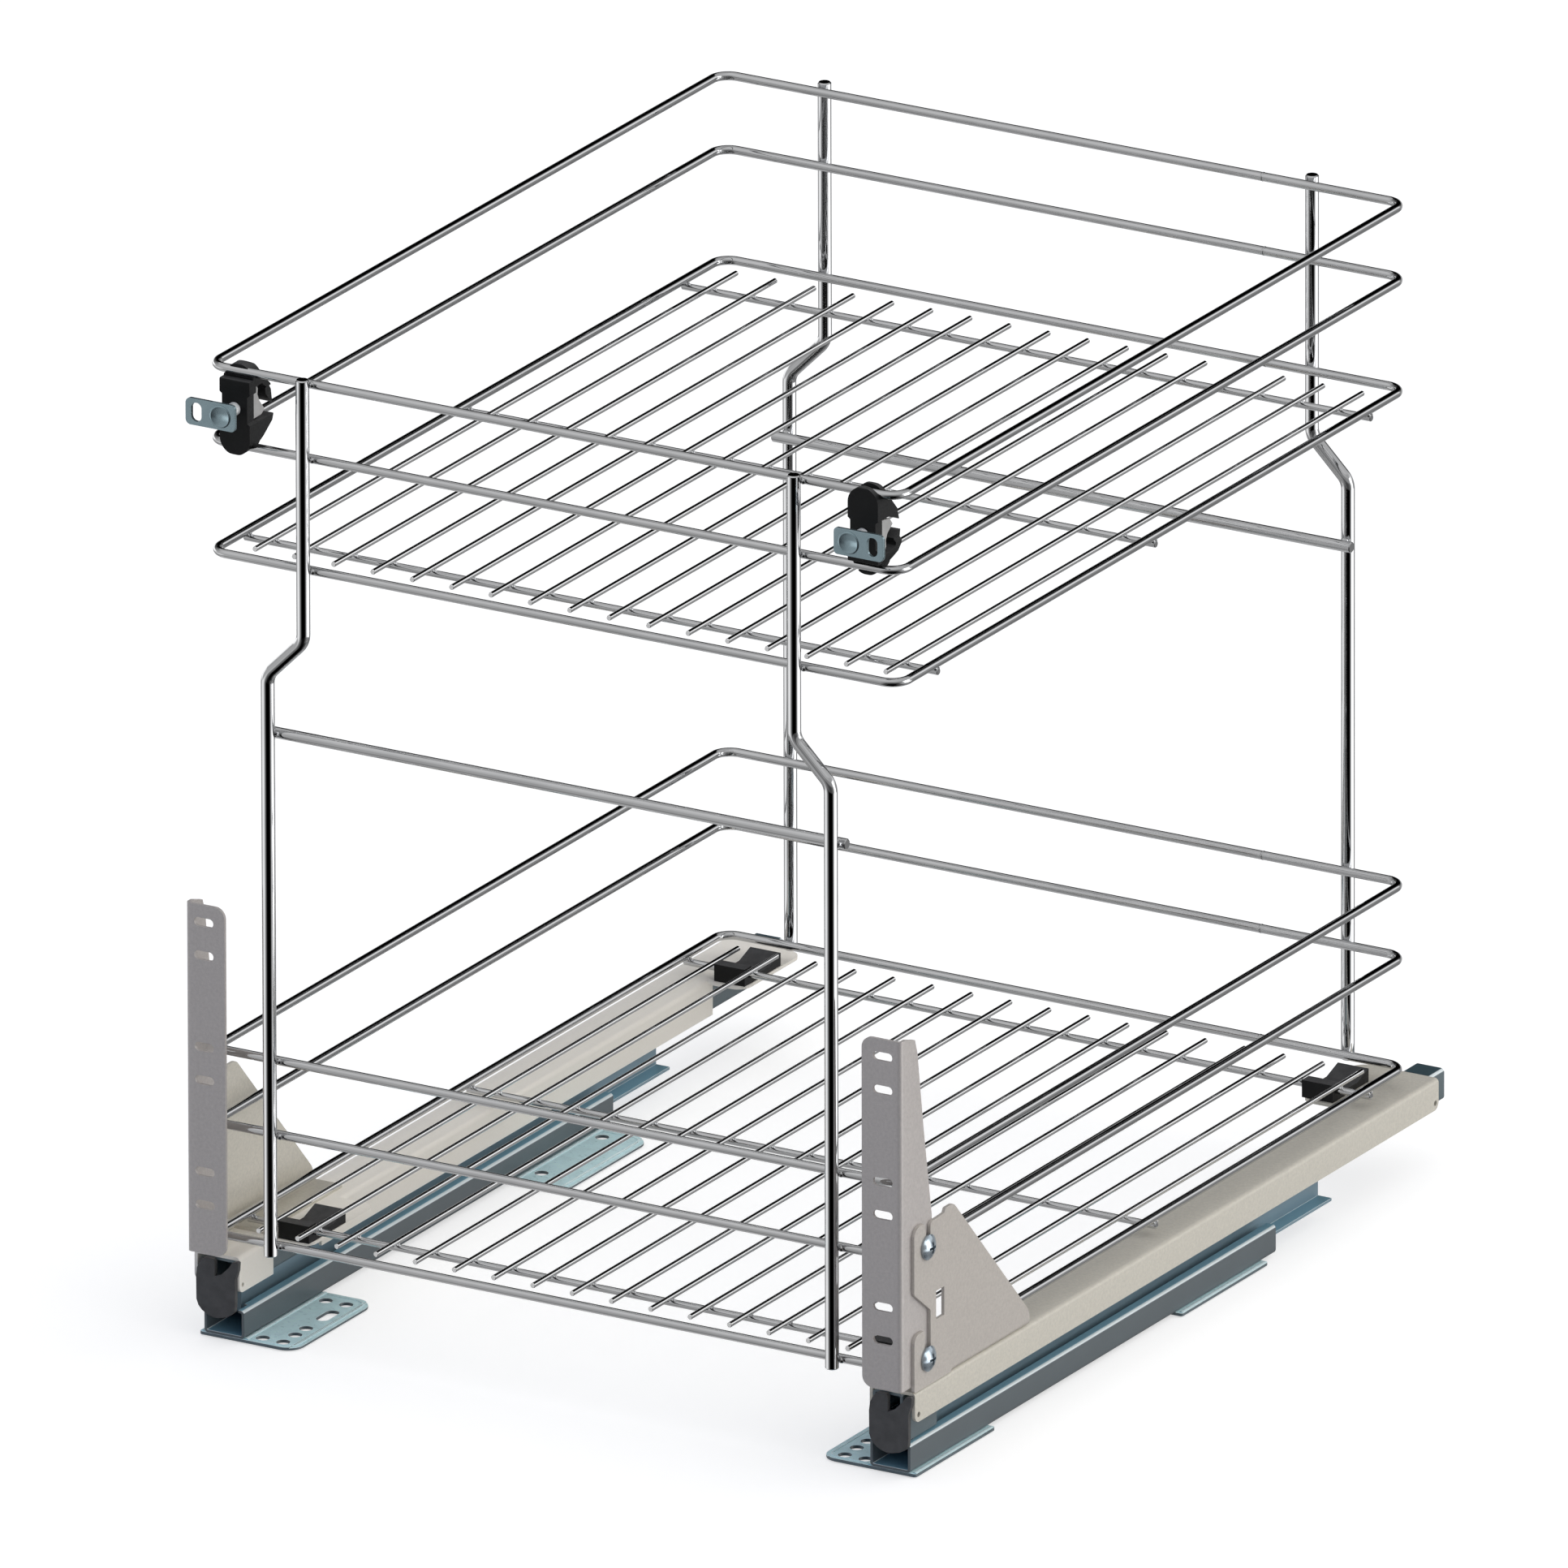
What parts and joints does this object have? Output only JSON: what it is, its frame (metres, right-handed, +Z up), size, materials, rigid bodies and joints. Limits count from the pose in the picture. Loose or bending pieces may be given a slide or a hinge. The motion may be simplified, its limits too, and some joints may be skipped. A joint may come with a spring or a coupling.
{
  "type": "two-tier pull-out basket",
  "caption": "Chromed wire pull-out basket with an upper and a lower tier on ball runners, with slotted brackets and swivelling tabs for a cabinet front.",
  "frame": {"origin": "middle of the footprint, on the cabinet floor under the base plates", "axes": "+X right seen from the front, +Y towards the back of the cabinet, +Z up"},
  "size_m": [0.3654, 0.484, 0.4487],
  "materials": {
    "chrome_wire": "bright chromed wire",
    "nickel_sheet": "satin warm nickel-plated sheet with fine grain",
    "bracket_sheet": "satin nickel-plated sheet, slightly darker",
    "zinc_screw": "bright blue zinc",
    "zinc_tab": "dull blue zinc",
    "grey_plastic": "moulded, matte",
    "black_plastic": "moulded, matte",
    "pale_plastic": "moulded, matte",
    "zinc_profile": "rolled blue zinc sheet",
    "zinc_plate": "blue zinc sheet",
    "cage_plastic": "moulded strip",
    "ball_steel": "polished steel"
  },
  "bodies": {
    "base": {"runner_fixed_left": "zinc_profile", "runner_fixed_right": "zinc_profile", "front_plate_left": "zinc_plate", "front_plate_right": "zinc_plate", "back_plate_left": "zinc_plate", "back_plate_right": "zinc_plate"},
    "carriage": {"upper_rim_top": "chrome_wire", "upper_rim_middle": "chrome_wire", "upper_rim_bottom": "chrome_wire", "upper_floor_bars": "chrome_wire", "upper_tie_wires": "chrome_wire", "lower_rim_top": "chrome_wire", "lower_rim_middle": "chrome_wire", "lower_rim_bottom": "chrome_wire", "lower_floor_bars": "chrome_wire", "lower_tie_wires": "chrome_wire", "upright_front_left": "chrome_wire", "upright_front_right": "chrome_wire", "upright_back_left": "chrome_wire", "upright_back_right": "chrome_wire", "cross_bar_front": "chrome_wire", "cross_bar_back": "chrome_wire", "top_rail_left": "nickel_sheet", "top_rail_right": "nickel_sheet", "wing_plate_left": "nickel_sheet", "wing_plate_right": "nickel_sheet", "front_buffer_left": "grey_plastic", "front_buffer_right": "grey_plastic", "basket_clip_front_left": "black_plastic", "basket_clip_front_right": "black_plastic", "basket_clip_back_left": "black_plastic", "basket_clip_back_right": "black_plastic", "holder_body_left": "black_plastic", "holder_body_right": "black_plastic", "holder_wedge_left": "pale_plastic", "holder_wedge_right": "pale_plastic", "holder_stud_left": "zinc_screw", "holder_stud_right": "zinc_screw", "runner_inner_left": "zinc_profile", "runner_inner_right": "zinc_profile"},
    "middle_left": {"runner_middle_left": "zinc_profile"},
    "lower_cage_left": {"lower_cage_left": "cage_plastic", "lower_balls_left": "ball_steel"},
    "upper_cage_left": {"upper_cage_left": "cage_plastic", "upper_balls_left": "ball_steel"},
    "bracket_left": {"front_bracket_left": "bracket_sheet", "bracket_screws_left": "zinc_screw"},
    "tab_left": {"holder_tab_left": "zinc_tab"},
    "middle_right": {"runner_middle_right": "zinc_profile"},
    "lower_cage_right": {"lower_cage_right": "cage_plastic", "lower_balls_right": "ball_steel"},
    "upper_cage_right": {"upper_cage_right": "cage_plastic", "upper_balls_right": "ball_steel"},
    "bracket_right": {"front_bracket_right": "bracket_sheet", "bracket_screws_right": "zinc_screw"},
    "tab_right": {"holder_tab_right": "zinc_tab"}
  },
  "joints": [
    {"name": "basket_slide", "type": "slide", "parent": "base", "child": "carriage", "axis": [0, -1, 0], "range_m": [0, 0.43]},
    {"name": "middle_slide_left", "type": "slide", "parent": "base", "child": "middle_left", "axis": [0, -1, 0], "range_m": [0, 0.215]},
    {"name": "lower_cage_slide_left", "type": "slide", "parent": "base", "child": "lower_cage_left", "axis": [0, -1, 0], "range_m": [0, 0.1075]},
    {"name": "upper_cage_slide_left", "type": "slide", "parent": "base", "child": "upper_cage_left", "axis": [0, -1, 0], "range_m": [0, 0.3225]},
    {"name": "bracket_height_left", "type": "slide", "parent": "carriage", "child": "bracket_left", "axis": [0, 0, 1], "range_m": [-0.002, 0.002]},
    {"name": "tab_swivel_left", "type": "hinge", "parent": "carriage", "child": "tab_left", "pos_m": [-0.156, -0.2408, 0.4293], "axis": [0, -1, 0], "range_deg": [-90, 90]},
    {"name": "middle_slide_right", "type": "slide", "parent": "base", "child": "middle_right", "axis": [0, -1, 0], "range_m": [0, 0.215]},
    {"name": "lower_cage_slide_right", "type": "slide", "parent": "base", "child": "lower_cage_right", "axis": [0, -1, 0], "range_m": [0, 0.1075]},
    {"name": "upper_cage_slide_right", "type": "slide", "parent": "base", "child": "upper_cage_right", "axis": [0, -1, 0], "range_m": [0, 0.3225]},
    {"name": "bracket_height_right", "type": "slide", "parent": "carriage", "child": "bracket_right", "axis": [0, 0, 1], "range_m": [-0.002, 0.002]},
    {"name": "tab_swivel_right", "type": "hinge", "parent": "carriage", "child": "tab_right", "pos_m": [0.156, -0.2408, 0.4273], "axis": [0, -1, 0], "range_deg": [-90, 90]}
  ],
  "couplings": [
    {"joint": "middle_slide_left", "follows": "basket_slide", "ratio": 0.5},
    {"joint": "lower_cage_slide_left", "follows": "basket_slide", "ratio": 0.25},
    {"joint": "upper_cage_slide_left", "follows": "basket_slide", "ratio": 0.75},
    {"joint": "middle_slide_right", "follows": "basket_slide", "ratio": 0.5},
    {"joint": "lower_cage_slide_right", "follows": "basket_slide", "ratio": 0.25},
    {"joint": "upper_cage_slide_right", "follows": "basket_slide", "ratio": 0.75}
  ]
}
